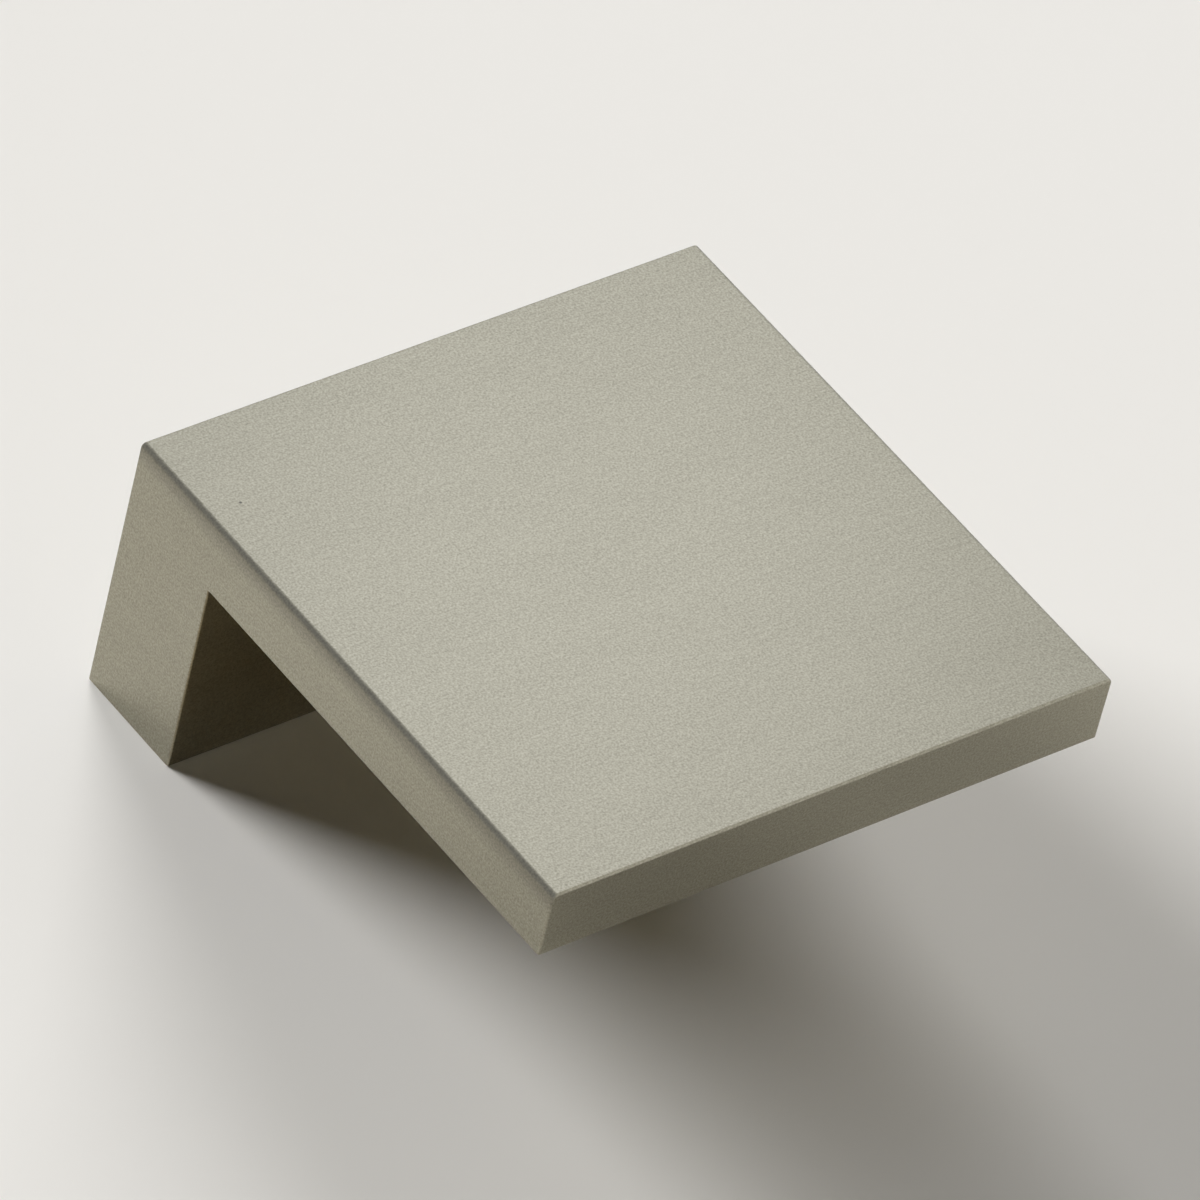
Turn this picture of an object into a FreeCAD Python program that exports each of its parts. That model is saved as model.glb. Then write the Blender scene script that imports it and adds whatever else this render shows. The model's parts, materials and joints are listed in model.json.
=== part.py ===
import FreeCAD, Part
import math
import os

from FreeCAD import Vector

# A tab pull for a drawer or cabinet door: a square display plate carried by a thick foot leg.
#
# The pull is one solid piece of metal with an L-shaped section. The foot leg stands on the drawer front
# and is held by two screws from behind. The plate reaches out from the head of the leg as a tab, and the
# fingers go under it.
#
# Sizes are in millimetres. The origin is the middle of the foot's mounting face. +Z points out of the
# drawer front, towards the display face. The tab reaches towards -Y, and X runs along the width.

# Overall sizes
WIDTH = 40.0
DEPTH = 40.0
PROJECTION = 18.7

# Section of the L
PLATE_THICKNESS = 4.7
LEG_THICKNESS = 8.0

# Roundings: the display face's side edges are soft, and every other outside edge is only eased
SIDE_ROUND = 0.35
EDGE_BREAK = 0.15
INNER_FILLET = 0.2

# Two blind holes in the foot, tapped M4 from below
HOLE_TO_SIDE = 4.0
THREAD_DIAMETER = 4.0
THREAD_PITCH = 0.7
THREAD_DEPTH = 10.0
DRILL_RUN_OUT = 2.5
DRILL_POINT_ANGLE = 118.0
COUNTERSINK_MARGIN = 0.3
COUNTERSINK_ANGLE = 90.0

# Two faces whose normals differ by less than this, in degrees, run into each other smoothly
SMOOTH_ANGLE = 5.0

# Places that follow from the sizes
SIDE = WIDTH / 2
LEG_BACK = LEG_THICKNESS / 2
LEG_FRONT = -LEG_THICKNESS / 2
TAB_EDGE = LEG_BACK - DEPTH
PLATE_UNDERSIDE = PROJECTION - PLATE_THICKNESS
HOLE_OFFSET = SIDE - HOLE_TO_SIDE


def l_section():
    """The pull's section, seen along X: the plate on top and the foot leg at its back."""
    corners = [
        (LEG_BACK, 0),
        (LEG_BACK, PROJECTION),
        (TAB_EDGE, PROJECTION),
        (TAB_EDGE, PLATE_UNDERSIDE),
        (LEG_FRONT, PLATE_UNDERSIDE),
        (LEG_FRONT, 0),
    ]
    points = [Vector(-SIDE, y, z) for y, z in corners]
    return Part.Face(Part.makePolygon(points + points[:1]))


def edges_along(solid, direction, **place):
    """The straight edges that run along a direction and lie at the given x, y or z."""
    found = []
    for edge in solid.Edges:
        start = edge.Vertexes[0].Point
        end = edge.Vertexes[-1].Point
        parallel = (end - start).cross(direction).Length < Part.Precision.confusion()
        at_place = all(math.isclose(getattr(start, axis), value) for axis, value in place.items())
        if parallel and at_place:
            found.append(edge)
    return found


def normal_beside(face, point):
    """The outward normal of a face at a point on its border."""
    u, v = face.Surface.parameter(point)
    return face.normalAt(u, v)


def corner_edges(solid):
    """The edges where two faces meet at a corner, without those where a rounding runs into a face."""
    found = []
    for edge in solid.Edges:
        middle = edge.valueAt((edge.FirstParameter + edge.LastParameter) / 2)
        one, other = solid.ancestorsOfType(edge, Part.Face)
        turn = normal_beside(one, middle).getAngle(normal_beside(other, middle))
        if math.degrees(turn) > SMOOTH_ANGLE:
            found.append(edge)
    return found


def eased_blank():
    """The L-shaped bar cut to width, with its inner corner filleted and its outside edges rounded."""
    bar = l_section().extrude(Vector(WIDTH, 0, 0))
    inner_corner = edges_along(bar, Vector(1, 0, 0), y=LEG_FRONT, z=PLATE_UNDERSIDE)
    bar = bar.makeFillet(INNER_FILLET, inner_corner)
    display_sides = edges_along(bar, Vector(0, 1, 0), z=PROJECTION)
    bar = bar.makeFillet(SIDE_ROUND, display_sides)
    return bar.makeFillet(EDGE_BREAK, corner_edges(bar))


def tapped_hole(x):
    """What drilling, tapping and countersinking take out of the foot at one screw.

    The tapped length is as wide as the thread's outer diameter, and the drill's own bore goes on past it.
    """
    thread = THREAD_DIAMETER / 2
    mouth = thread + COUNTERSINK_MARGIN
    drill = (THREAD_DIAMETER - THREAD_PITCH) / 2
    countersink_depth = COUNTERSINK_MARGIN / math.tan(math.radians(COUNTERSINK_ANGLE / 2))
    drill_end = THREAD_DEPTH + DRILL_RUN_OUT
    drill_point = drill_end + drill / math.tan(math.radians(DRILL_POINT_ANGLE / 2))
    outline = [
        (0, 0),
        (mouth, 0),
        (thread, countersink_depth),
        (thread, THREAD_DEPTH),
        (drill, THREAD_DEPTH),
        (drill, drill_end),
        (0, drill_point),
    ]
    points = [Vector(x + radius, 0, depth) for radius, depth in outline]
    half_section = Part.Face(Part.makePolygon(points + points[:1]))
    return half_section.revolve(Vector(x, 0, 0), Vector(0, 0, 1), 360)


def pull_body():
    """The finished pull: the eased blank with its two screw holes."""
    holes = [tapped_hole(x) for x in (-HOLE_OFFSET, HOLE_OFFSET)]
    (body,) = eased_blank().cut(holes).Solids
    return body


os.makedirs("parts", exist_ok=True)
body = pull_body()
body.exportStep("parts/pull_body.step")
print(f"pull_body: valid {body.isValid()}, {len(body.Faces)} faces, {body.Volume / 1000:.3f} cm3")
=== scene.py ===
# %% [markdown] # A brushed nickel tab pull  A tab pull is the small metal grip on a drawer front or a
# cabinet door. This one is a square plate on a thick foot leg, cast in one piece, plated with nickel and
# brushed to a satin finish. The fingers go under the plate. Its sizes and edges are exact, so Blender
# leaves the mesh alone and adds what the solid lacks: the brushed finish, the cut threads in the screw
# holes, a floor, light and a camera.

import json
import math

import bmesh
import bpy
from mathutils import Matrix, Vector


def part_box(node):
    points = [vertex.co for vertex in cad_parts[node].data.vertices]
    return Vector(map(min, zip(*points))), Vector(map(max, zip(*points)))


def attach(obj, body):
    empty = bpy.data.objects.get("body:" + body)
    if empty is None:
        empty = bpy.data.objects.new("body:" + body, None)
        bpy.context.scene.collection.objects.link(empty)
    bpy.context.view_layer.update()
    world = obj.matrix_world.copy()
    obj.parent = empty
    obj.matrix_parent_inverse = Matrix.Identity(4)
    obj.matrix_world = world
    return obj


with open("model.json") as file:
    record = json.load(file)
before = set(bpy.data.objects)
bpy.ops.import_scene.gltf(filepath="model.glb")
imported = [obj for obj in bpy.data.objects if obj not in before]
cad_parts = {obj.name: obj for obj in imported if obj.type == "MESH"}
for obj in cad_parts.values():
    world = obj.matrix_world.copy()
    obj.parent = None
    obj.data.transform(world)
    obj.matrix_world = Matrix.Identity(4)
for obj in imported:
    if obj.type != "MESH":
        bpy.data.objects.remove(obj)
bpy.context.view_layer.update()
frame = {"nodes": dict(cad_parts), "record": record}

MM = 0.001
pull = frame["nodes"]["pull_body"]
low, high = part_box("pull_body")
DISPLAY_FACE = high.z / MM
print("pull, in mm:", [round(side / MM, 2) for side in high - low])

# %% [markdown]
# ## The camera
#
# The view was worked out from where the pull's edges lie in the picture: from the front left, well above
# the plate, with the frame tilted a little. A long lens from three quarters of a metre keeps the edges
# nearly parallel, as in the pictures of a catalogue.
#
# One could drag a camera until it fits. Here the view is written as angles, a point to aim at and a
# distance, because those say what the photographer did and can be checked one at a time.

# %% Set up the camera
AZIMUTH = math.radians(-46.36)
ELEVATION = math.radians(42.13)
TILT = math.radians(14.57)
AIM = Vector((-3.39, -17.92, DISPLAY_FACE)) * MM
DISTANCE = 752.7 * MM

# Sensor and lens in millimetres, and the farthest that the camera sees in metres
SENSOR_WIDTH = 36
FOCAL_LENGTH = 401
FAR_CLIP = 20

backwards = Vector((
    math.sin(AZIMUTH) * math.cos(ELEVATION),
    -math.cos(AZIMUTH) * math.cos(ELEVATION),
    math.sin(ELEVATION),
))
lens = bpy.data.cameras.new("catalogue_lens")
lens.sensor_width = SENSOR_WIDTH
lens.lens = FOCAL_LENGTH
lens.clip_end = FAR_CLIP
camera = bpy.data.objects.new("catalogue_camera", lens)
camera.matrix_world = (
    Matrix.Translation(AIM + backwards * DISTANCE)
    @ backwards.to_track_quat("Z", "Y").to_matrix().to_4x4()
    @ Matrix.Rotation(TILT, 4, "Z")
)
bpy.context.collection.objects.link(camera)
bpy.context.scene.camera = camera
bpy.context.scene.view_settings.view_transform = "Standard"
print("camera, in mm:", [round(place / MM, 1) for place in camera.matrix_world.translation])

# %% [markdown]
# ## Shader maths as Python
#
# A procedural finish is mostly arithmetic on noise. Placing Math nodes one by one hides that arithmetic,
# so a small class wraps an output socket and gives it Python's operators. `1 - marks * 0.2` then adds two
# Math nodes. Every other node comes from one method: its settings go in first, because some of them decide
# which sockets are in use, and then a value or a wire for each socket.

# %% A wire that does sums
class Wire:
    """An output socket that takes part in arithmetic."""

    def __init__(self, socket):
        self.socket = socket

    @classmethod
    def node(cls, tree, kind, settings, inputs, output=None):
        """Adds a node. Gives back the wire of the output asked for, or all of its wires by name."""
        made = tree.nodes.new(kind)
        for name, value in settings.items():
            setattr(made, name, value)
        sockets = {socket.identifier: socket for socket in made.inputs}
        for name, value in inputs.items():
            if isinstance(value, Wire):
                tree.links.new(value.socket, sockets[name])
            else:
                sockets[name].default_value = value
        wires = {socket.identifier: cls(socket) for socket in made.outputs}
        return wires[output] if output else wires

    def sum(self, operation, *values):
        """The result of one Math node."""
        inputs = dict(zip(("Value", "Value_001"), values))
        return Wire.node(self.socket.id_data, "ShaderNodeMath", {"operation": operation}, inputs, "Value")

    def __add__(self, other):
        return self.sum("ADD", self, other)

    def __radd__(self, other):
        return self.sum("ADD", other, self)

    def __sub__(self, other):
        return self.sum("SUBTRACT", self, other)

    def __rsub__(self, other):
        return self.sum("SUBTRACT", other, self)

    def __mul__(self, other):
        return self.sum("MULTIPLY", self, other)

    def __rmul__(self, other):
        return self.sum("MULTIPLY", other, self)

    def __lt__(self, other):
        return self.sum("LESS_THAN", self, other)

    def __abs__(self):
        return self.sum("ABSOLUTE", self)


print("operators:", [name for name in vars(Wire) if name.startswith("__r")])

# %% [markdown]
# ## Reading the surface
#
# Each finish asks the same two questions of a point on the pull: where is it, and which way does it face?
# The place comes from Object coordinates, turned into millimetres by a Mapping node so that every size
# below can be read off a ruler. The facing comes from the surface normal.
#
# Marks of any size are noise in a stretched space: dividing each axis by a length in millimetres makes
# blotches about that long on that axis.

# %% Places, facings and marks
def place_in_mm(tree):
    """The point's place on the pull, in millimetres."""
    object_place = Wire.node(tree, "ShaderNodeTexCoord", {}, {}, "Object")
    in_mm = {"Vector": object_place, "Scale": (1 / MM, 1 / MM, 1 / MM)}
    return Wire.node(tree, "ShaderNodeMapping", {}, in_mm, "Vector")


def split(tree, vector):
    """The three parts of a vector, each as its own wire."""
    return Wire.node(tree, "ShaderNodeSeparateXYZ", {}, {"Vector": vector}).values()


def marks(tree, place, size, detail):
    """Noise round 0, from about -1 to 1, in blotches of a size in millimetres along X, Y and Z."""
    stretch = {"Vector": place, "Scale": [1 / side for side in size]}
    stretched = Wire.node(tree, "ShaderNodeMapping", {}, stretch, "Vector")
    noise = Wire.node(
        tree, "ShaderNodeTexNoise", {}, {"Vector": stretched, "Scale": 1, "Detail": detail}, "Fac"
    )
    return noise * 2 - 1


def fade(tree, value, start, end):
    """0 up to the start, 1 past the end, and a smooth rise between them."""
    return Wire.node(
        tree,
        "ShaderNodeMapRange",
        {"interpolation_type": "SMOOTHSTEP"},
        {"Value": value, "From Min": start, "From Max": end},
        "Result",
    )


def blend(tree, amount, colour, other, mode="MIX"):
    """A colour that turns into another, or is multiplied by it, as the amount goes from 0 to 1."""
    return Wire.node(
        tree,
        "ShaderNodeMix",
        {"data_type": "RGBA", "blend_type": mode},
        {"Factor_Float": amount, "A_Color": colour, "B_Color": other},
        "Result_Color",
    )


print("one unit of Object coordinates is", 1 / MM, "mm")

# %% [markdown]
# ## The brushed nickel
#
# The plate was drawn along an abrasive belt, which leaves hair lines about a tenth of a millimetre wide
# across the width, and slow bands from one pass to the next. On the two sides the belt ran along the depth
# instead, so the lines turn there. The facing decides which: the more a point faces along X, the more its
# lines run along Y. Between the lines lies the satin grain of the plating, and it is what the eye sees
# first.
#
# An anisotropic shader could stretch the highlights in the same way, but it needs tangents that don't
# carry over to other programs. Lines in the colour, roughness and bump give the look and survive.

# %% The finish's sizes and tones
NICKEL = (0.368, 0.348, 0.272, 1)
NICKEL_DARK = (0.24, 0.225, 0.172, 1)
NICKEL_LIGHT = (0.496, 0.471, 0.372, 1)

# Length and width in millimetres, and the grain's one size
HAIR_LINE = (3.5, 0.12)
BAND = (12.0, 3.0)
GRAIN = 0.13

# Layers of finer noise on top of the first
HAIR_LINE_DETAIL = 2
SOFT_DETAIL = 1

# How far the marks move the tone, where 1 is the step from the plain nickel to the dark or light one
HAIR_LINE_TONE = 0.30
BAND_TONE = 0.10
GRAIN_TONE = 1.3

FACE_ROUGHNESS = 0.34
EDGE_ROUGHNESS = 0.46
HAIR_LINE_ROUGHNESS = 0.03

# Height in millimetres
HAIR_LINE_RELIEF = 0.0009
GRAIN_RELIEF = 0.0006


def brush_marks(tree, place, on_side, size, detail):
    """Marks of a length and width: drawn along X on most faces, and along Y on the two sides."""
    length, width = size
    along_x = marks(tree, place, (length, width, width), detail)
    along_y = marks(tree, place, (width, length, width), detail)
    return along_x + (along_y - along_x) * on_side


def tone(tree, dark, plain, light, amount):
    """A colour between dark at -1, plain at 0 and light at 1."""
    return blend(tree, amount, blend(tree, 0 - amount, plain, dark), light)


print("hair lines", HAIR_LINE, "bands", BAND, "grain", GRAIN, "(mm)")

# %% [markdown]
# The edges were eased after brushing and handled ever since, so the lines are gone there and the metal is
# duller. The facing finds them: on a flat face one part of the normal is 1, and on a rounding none is.
# Along the display face's side edges a darker line is painted, which fades down the sides. It is painted
# shade, standing in for the dark wall that the edge mirrors. The plating also has one small pit, near the
# plate's back left corner.
#
# The hollow under the tab is painted darker and warmer, most at its top and back. This is painted shade,
# which stands in for the shadow under the tab and the warm light that the metal mirrors there.
#
# The screw holes were drilled and tapped after the plating, so bare metal shows in them, with the fine
# rings of the drill. They are found by their distance from the holes' axes.

# %% Edges, pit, hollow and screw holes
# Part of the normal along X, from and to: where the lines turn, and where the painted shade line begins
SIDE_FACING = (0.6, 0.8)
SHADE_FACING = (0.15, 0.5)
# Largest part of the normal, from and to: where an edge runs out into a flat face
EDGE_FACING = (0.80, 0.995)

# Depths, radii and places are in millimetres
# A near-black that both the painted shade line below the display edge and the pit blend towards
SHADE_LINE = (0.05, 0.045, 0.045, 1)
SHADE_LINE_DEPTH = 1.7
SHADE_LINE_TONE = 0.40

PIT = (-17.63, -2.51, DISPLAY_FACE)
PIT_RADIUS = 0.13
PIT_FLOOR_RADIUS = PIT_RADIUS / 3
PIT_TONE = 0.75

# The hollow's faces are 14 mm up and 4 mm forward, and its limits lie just inside the metal
# Painted shade: the darker, warmer tint that is multiplied into the nickel in the hollow under the tab
HOLLOW_PAINTED_SHADE = (0.87, 0.77, 0.60, 1)
HOLLOW_TOP = 14.05
HOLLOW_BACK = -3.95
HOLLOW_DEPTH = 32.0
HOLLOW_RISE = (-6.0, 8.0)

CUT_METAL = (0.42, 0.42, 0.41, 1)
CUT_METAL_DARK = (0.30, 0.30, 0.29, 1)
CUT_METAL_LIGHT = (0.52, 0.52, 0.51, 1)
DRILL_RING = (3.0, 3.0, 0.06)
# Reach of a hole from its axis and from the foot's face
MOUTH_RADIUS = 2.31
HOLE_END = 13.8

screw_holes = next(mount for mount in frame["record"]["mounts"] if mount["name"] == "screw_holes")
HOLE_OFFSET = screw_holes["dims"]["spacing_x_mm"] / 2
THREAD_RADIUS = screw_holes["dims"]["hole_r_mm"]


def near_pit(tree, place):
    """1 in the middle of the pit, and 0 from its rim outwards."""
    ends = {"Vector": place, "Vector_001": PIT}
    distance = Wire.node(tree, "ShaderNodeVectorMath", {"operation": "DISTANCE"}, ends, "Value")
    return 1 - fade(tree, distance, PIT_FLOOR_RADIUS, PIT_RADIUS)


def in_hollow(tree, place_y, place_z):
    """1 at the top and back of the hollow, less towards the foot and the tab's edge, and 0 outside it."""
    depth = fade(tree, place_y, HOLLOW_BACK - HOLLOW_DEPTH, HOLLOW_BACK)
    rise = fade(tree, place_z, *HOLLOW_RISE)
    return depth * rise * (place_y < HOLLOW_BACK) * (place_z < HOLLOW_TOP)


def in_screw_hole(place_x, place_y, place_z):
    """1 on the walls of the two holes in the foot, and 0 everywhere else."""
    across = abs(place_x) - HOLE_OFFSET
    near_axis = across * across + place_y * place_y < MOUTH_RADIUS ** 2
    return near_axis * (place_z < HOLE_END)


print("screw holes at x = +-", HOLE_OFFSET, "mm, radius", THREAD_RADIUS, "mm")

# %% The nickel's colour and roughness
nickel = bpy.data.materials.new("brushed_nickel_satin")
nickel.use_nodes = True
tree = nickel.node_tree
tree.nodes.clear()

place = place_in_mm(tree)
place_x, place_y, place_z = split(tree, place)
facing = Wire.node(tree, "ShaderNodeNewGeometry", {}, {}, "Normal")
face_x, face_y, face_z = [abs(part) for part in split(tree, facing)]
on_side = fade(tree, face_x, *SIDE_FACING)
flatness = face_x.sum("MAXIMUM", face_x.sum("MAXIMUM", face_x, face_y), face_z)
on_edge = 1 - fade(tree, flatness, *EDGE_FACING)
near_display = 1 - fade(tree, DISPLAY_FACE - place_z, 0, SHADE_LINE_DEPTH)
in_shade_line = fade(tree, face_x, *SHADE_FACING) * near_display
in_hole = in_screw_hole(place_x, place_y, place_z)

hair_lines = brush_marks(tree, place, on_side, HAIR_LINE, HAIR_LINE_DETAIL) * (1 - on_edge)
bands = brush_marks(tree, place, on_side, BAND, SOFT_DETAIL)
grain = marks(tree, place, (GRAIN, GRAIN, GRAIN), SOFT_DETAIL)
rings = marks(tree, place, DRILL_RING, SOFT_DETAIL)

shade = hair_lines * HAIR_LINE_TONE + bands * BAND_TONE + grain * GRAIN_TONE
marked_nickel = tone(tree, NICKEL_DARK, NICKEL, NICKEL_LIGHT, shade)
# Painted shade: the hollow under the tab is multiplied darker and warmer
nickel_with_hollow_shade = blend(tree, in_hollow(tree, place_y, place_z), marked_nickel, HOLLOW_PAINTED_SHADE, "MULTIPLY")
# Painted shade: a darker line below the display face's side edges, standing in for a dark reflection. The
# pit's dark is its own.
painted_shade_and_pit = in_shade_line * SHADE_LINE_TONE + near_pit(tree, place) * PIT_TONE
bare = tone(tree, CUT_METAL_DARK, CUT_METAL, CUT_METAL_LIGHT, rings)
colour = blend(tree, in_hole, blend(tree, painted_shade_and_pit, nickel_with_hollow_shade, SHADE_LINE), bare)
duller = on_edge * (EDGE_ROUGHNESS - FACE_ROUGHNESS)
roughness = FACE_ROUGHNESS + hair_lines * HAIR_LINE_ROUGHNESS + duller
print("brushed nickel so far:", len(tree.nodes), "nodes")

# %% The nickel's relief and shader
height = hair_lines * HAIR_LINE_RELIEF + grain * GRAIN_RELIEF
bump = Wire.node(
    tree, "ShaderNodeBump", {}, {"Strength": 1.0, "Distance": MM, "Height": height}, "Normal"
)
metal = Wire.node(
    tree,
    "ShaderNodeBsdfPrincipled",
    {},
    {"Base Color": colour, "Metallic": 1.0, "Roughness": roughness, "Normal": bump},
    "BSDF",
)
Wire.node(tree, "ShaderNodeOutputMaterial", {}, {"Surface": metal})
pull.material_slots[0].material = nickel
print("brushed nickel:", len(tree.nodes), "nodes")

# %% [markdown]
# ## The screw threads
#
# Two machine screws come through the drawer front and into the foot. In the CAD solid each tapped hole is
# a plain bore as wide as the thread's outside, and the ridge that a tap leaves in it is made here: M4, one
# turn every 0.7 mm.
#
# A ridge can be a screw modifier on a profile, but a bmesh spin with a step along the axis makes the same
# helix in one call, with the mesh in hand for the ends. There the ridge sinks into the wall: at the mouth
# because the countersink cuts it away, and at the depth where the tap's taper stopped cutting.

# %% The ridge's sizes and section
# Millimetres, apart from the counts of turns and steps
PITCH = 0.7
THREAD_START = 0.6
THREAD_TURNS = 13
STEPS_PER_TURN = 32
RIDGE_HEIGHT = 0.36
RIDGE_ROOT = 0.54
RIDGE_CREST = 0.14
SUNK_IN_WALL = 0.04
RUN_OUT = 0.8

THREAD_END = THREAD_START + THREAD_TURNS * PITCH
ROOT_RADIUS = THREAD_RADIUS + SUNK_IN_WALL
CREST_RADIUS = THREAD_RADIUS - RIDGE_HEIGHT


def ridge_section(made):
    """The ridge's section at the start of the helix: wide in the wall, narrow at the crest."""
    outline = [
        (ROOT_RADIUS, -RIDGE_ROOT / 2),
        (CREST_RADIUS, -RIDGE_CREST / 2),
        (CREST_RADIUS, RIDGE_CREST / 2),
        (ROOT_RADIUS, RIDGE_ROOT / 2),
    ]
    corners = [made.verts.new((radius, 0, THREAD_START + rise)) for radius, rise in outline]
    return made.faces.new(corners)


print("thread from", THREAD_START, "to", round(THREAD_END, 2), "mm deep")

# %% Cut the threads
def sink_ends(made):
    """Sinks the ridge into the wall over its first and last part."""
    for vert in made.verts:
        from_end = min(vert.co.z - THREAD_START, THREAD_END - vert.co.z)
        shown = min(1, max(0, from_end / RUN_OUT))
        radius = vert.co.xy.length
        vert.co.xy *= (ROOT_RADIUS + (radius - ROOT_RADIUS) * shown) / radius


def cut_thread(name, x):
    """One threaded hole's ridge, at its place in the foot."""
    made = bmesh.new()
    section = ridge_section(made)
    bmesh.ops.spin(
        made,
        geom=[section, *section.edges, *section.verts],
        axis=(0, 0, 1),
        cent=(0, 0, 0),
        dvec=(0, 0, PITCH / STEPS_PER_TURN),
        angle=math.tau * THREAD_TURNS,
        steps=STEPS_PER_TURN * THREAD_TURNS,
    )
    sink_ends(made)
    bmesh.ops.holes_fill(made, edges=[edge for edge in made.edges if edge.is_boundary])
    bmesh.ops.recalc_face_normals(made, faces=made.faces)
    bmesh.ops.translate(made, verts=made.verts, vec=(x, 0, 0))
    open_edges = sum(not edge.is_manifold for edge in made.edges)
    volume = round(made.calc_volume(), 2)
    print(name, len(made.faces), "faces, open edges", open_edges, "volume, mm3", volume)
    bmesh.ops.scale(made, verts=made.verts, vec=(MM, MM, MM))
    mesh = bpy.data.meshes.new(name)
    made.to_mesh(mesh)
    made.free()
    mesh.materials.append(nickel)
    piece = bpy.data.objects.new(name, mesh)
    bpy.context.collection.objects.link(piece)
    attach(piece, "root")


cut_thread("thread_left", -HOLE_OFFSET)
cut_thread("thread_right", HOLE_OFFSET)

# %% [markdown]
# ## The floor
#
# The pull stands on its foot on a plain pale sheet. The sheet is so large that its edge is never seen,
# also from a camera close to the ground.

# %% Lay the floor
FLOOR_SIZE = 12.0
FLOOR_TONE = (0.90, 0.885, 0.855, 1)

paper = bpy.data.materials.new("pale_paper")
paper.use_nodes = True
tree = paper.node_tree
tree.nodes.clear()
matte = Wire.node(
    tree,
    "ShaderNodeBsdfPrincipled",
    {},
    {"Base Color": FLOOR_TONE, "Roughness": 1.0, "Specular IOR Level": 0.0},
    "BSDF",
)
Wire.node(tree, "ShaderNodeOutputMaterial", {}, {"Surface": matte})

sheet = bpy.data.meshes.new("floor")
made = bmesh.new()
bmesh.ops.create_grid(made, x_segments=1, y_segments=1, size=FLOOR_SIZE / 2)
made.to_mesh(sheet)
made.free()
sheet.materials.append(paper)
floor = bpy.data.objects.new("floor", sheet)
bpy.context.collection.objects.link(floor)
print("floor:", FLOOR_SIZE, "m across")

# %% [markdown]
# ## The light on the sheet
#
# Metal shows what is round it, so the light decides how the faces differ. Two soft boxes stand low behind
# the pull, left and right. They light the sheet that the left side mirrors. Each leaves a shadow in front,
# and the plate's front edge and the hollow under the tab mirror those. A wide, warm box on the right
# softens the shadows.
#
# Area lamps would light only the sheet near them. Sun lamps light it evenly as far as one can see, and a
# wide angle makes them as soft as a box of cloth. The two behind would burn a bright line into the plate's
# left edge, so they are hidden from reflections, as a photographer hides a lamp behind a flag.

# %% Set up the far lamps
WHITE = (1.0, 1.0, 1.0)
WARM = (1.0, 0.89, 0.64)
FAR_BOXES = {
    # azimuth from +X, elevation and angle across in degrees, strength, tint, whether the metal shows it
    "box_behind_left": (112, 20, 30, 4.4, WHITE, False),
    "box_behind_right": (62, 18, 30, 3.1, WHITE, False),
    "box_right": (-25, 48, 80, 0.28, WARM, True),
}


def place_lamp(name, kind, matrix):
    """A lamp that shines along its own -Z."""
    holder = bpy.data.objects.new(name, bpy.data.lights.new(name, kind))
    holder.matrix_world = matrix
    bpy.context.collection.objects.link(holder)
    return holder


def towards(azimuth, elevation):
    """The direction at an azimuth from +X and an elevation, in degrees."""
    flat = math.cos(math.radians(elevation))
    return Vector((
        flat * math.cos(math.radians(azimuth)),
        flat * math.sin(math.radians(azimuth)),
        math.sin(math.radians(elevation)),
    ))


light_on_sheet = Vector((0, 0, 0))
for name, (azimuth, elevation, angle, strength, tint, in_metal) in FAR_BOXES.items():
    direction = towards(azimuth, elevation)
    far_box = place_lamp(name, "SUN", direction.to_track_quat("Z", "Y").to_matrix().to_4x4())
    far_box.data.angle = math.radians(angle)
    far_box.data.energy = strength
    far_box.data.color = tint
    far_box.visible_glossy = in_metal
    light_on_sheet += Vector(tint) * strength * direction.z
print("light on the sheet:", [round(part, 2) for part in light_on_sheet])

# %% [markdown]
# ## The glow on the plate
#
# The plate is a mirror, though a blurred one. What makes it glow is a small soft box just where a flat
# mirror would show it to the camera. It hangs close, so the plate's corners see past its rim and the glow
# is strongest left of the middle.

# %% Hang the near lamp
GLOW_SPOT = Vector((-12, -21, DISPLAY_FACE)) * MM
NEAR_DISTANCE = 220 * MM
NEAR_SIZE = 72 * MM
NEAR_POWER = 0.024
NEAR_TINT = (0.88, 0.905, 1.0)

to_camera = (camera.matrix_world.translation - GLOW_SPOT).normalized()
mirrored = Vector((-to_camera.x, -to_camera.y, to_camera.z))
near_place = Matrix.Translation(GLOW_SPOT + mirrored * NEAR_DISTANCE)
near_turn = mirrored.to_track_quat("Z", "Y").to_matrix().to_4x4()
near_box = place_lamp("box_near", "AREA", near_place @ near_turn)
near_box.data.size = NEAR_SIZE
near_box.data.energy = NEAR_POWER
near_box.data.color = NEAR_TINT
print("near box, in mm:", [round(part / MM) for part in near_place.translation])

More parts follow.
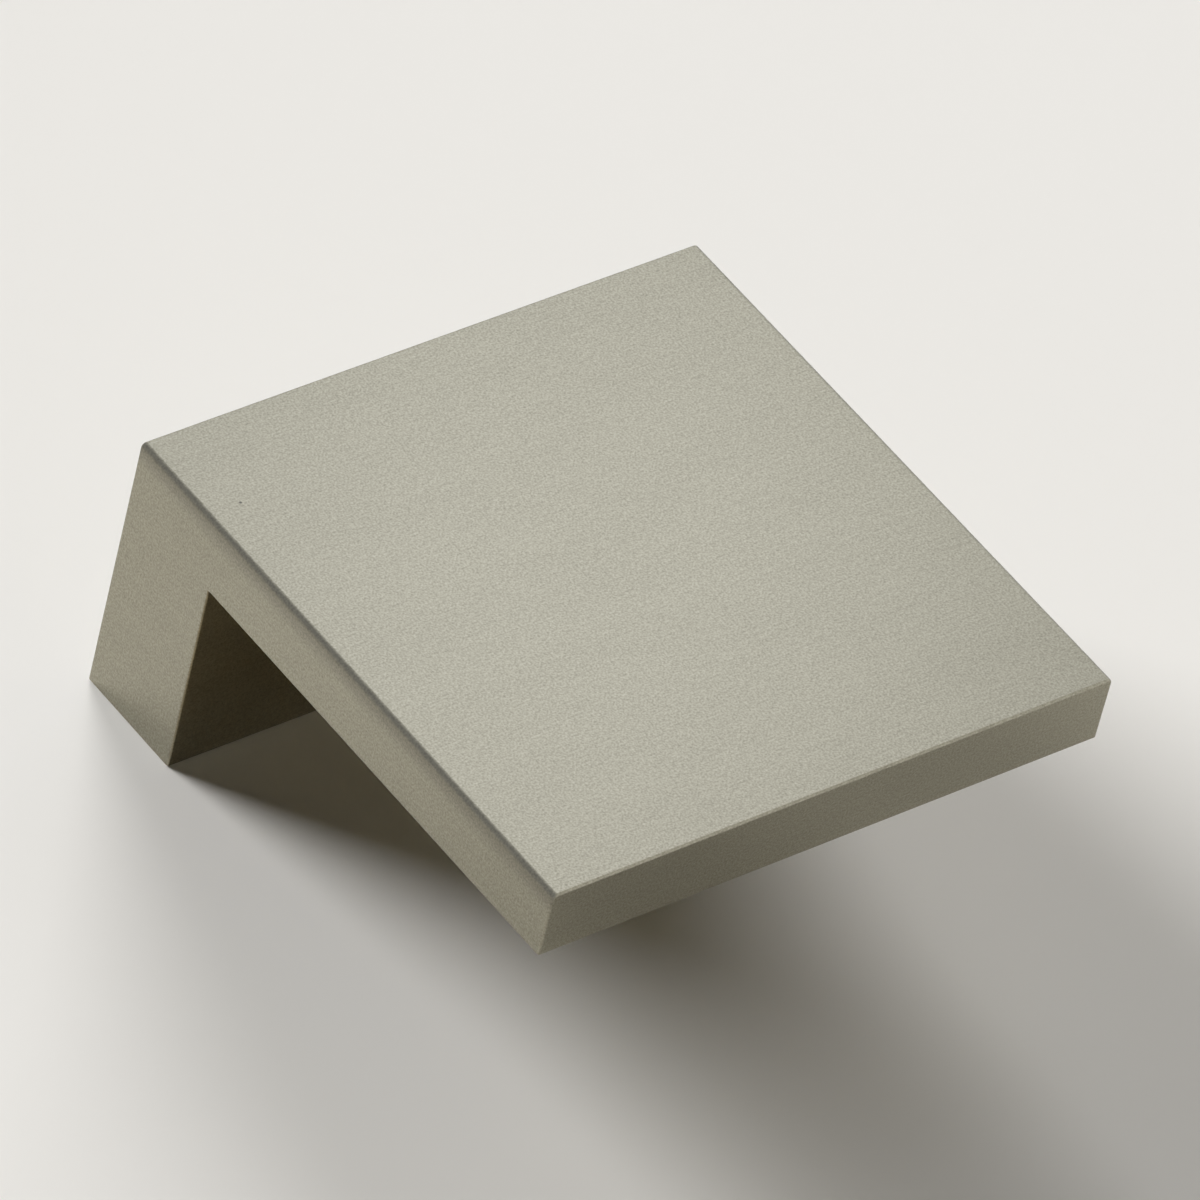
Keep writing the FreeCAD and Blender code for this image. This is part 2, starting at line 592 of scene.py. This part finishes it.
# %% [markdown]
# ## The room
#
# The world is the room round the lamps, and it answers two kinds of ray. A ray from the sheet meets a dim
# room, which keeps the shadow under the tab deep. A ray from the metal sees the room's walls: a pale one on
# the right, where the plate's far edges shine, and darker ones elsewhere.
#
# Below the horizon, and wherever the camera looks past the sheet, the world has the tone of the lit sheet,
# so that no line shows where the sheet ends. A matte sheet sends back its own tone times the light that
# falls on it, divided by pi, so that tone needs no guess.
#
# Walls could be planes, but they would cast shadows and stand in the way of other cameras. A world does
# neither.

# %% Paint the room
ROOM_TONE = 0.02
DARK_WALL = 0.60
PALE_WALL = 1.30
ROOM_TINT = (0.93, 0.955, 1.0, 1)

# The pale wall's middle in degrees from +X, then from and to: how nearly a ray points at the middle where
# the wall begins, and how steeply it rises where the wall ends
PALE_WALL_AZIMUTH = 22
PALE_WALL_RIM = (-0.3, 0.6)
PALE_WALL_TOP = (0.15, 0.70)

room_on_sheet = Vector(ROOM_TINT[:3]) * ROOM_TONE
lit_sheet = Vector(FLOOR_TONE[:3]) * (light_on_sheet / math.pi + room_on_sheet)

room = bpy.data.worlds.new("room")
bpy.context.scene.world = room
room.use_nodes = True
tree = room.node_tree
tree.nodes.clear()
look = Wire.node(tree, "ShaderNodeTexCoord", {}, {}, "Generated")
look_x, look_y, look_up = split(tree, look)
middle = towards(PALE_WALL_AZIMUTH, 0)
in_width = fade(tree, look_x * middle.x + look_y * middle.y, *PALE_WALL_RIM)
in_height = 1 - fade(tree, look_up, *PALE_WALL_TOP)
walls = DARK_WALL + (PALE_WALL - DARK_WALL) * (in_width * in_height)
ray = Wire.node(tree, "ShaderNodeLightPath", {}, {})
above = ROOM_TONE + (walls - ROOM_TONE) * ray["Is Glossy Ray"]
below = look_up < 0
as_sheet = below.sum("MAXIMUM", below, ray["Is Camera Ray"])
sky_tint = blend(tree, as_sheet, ROOM_TINT, (*lit_sheet, 1))
brightness = above + (1 - above) * as_sheet
sky = Wire.node(
    tree, "ShaderNodeBackground", {}, {"Color": sky_tint, "Strength": brightness}, "Background"
)
Wire.node(tree, "ShaderNodeOutputWorld", {}, {"Surface": sky})
print("lit sheet:", [round(part, 3) for part in lit_sheet])

# %% [markdown]
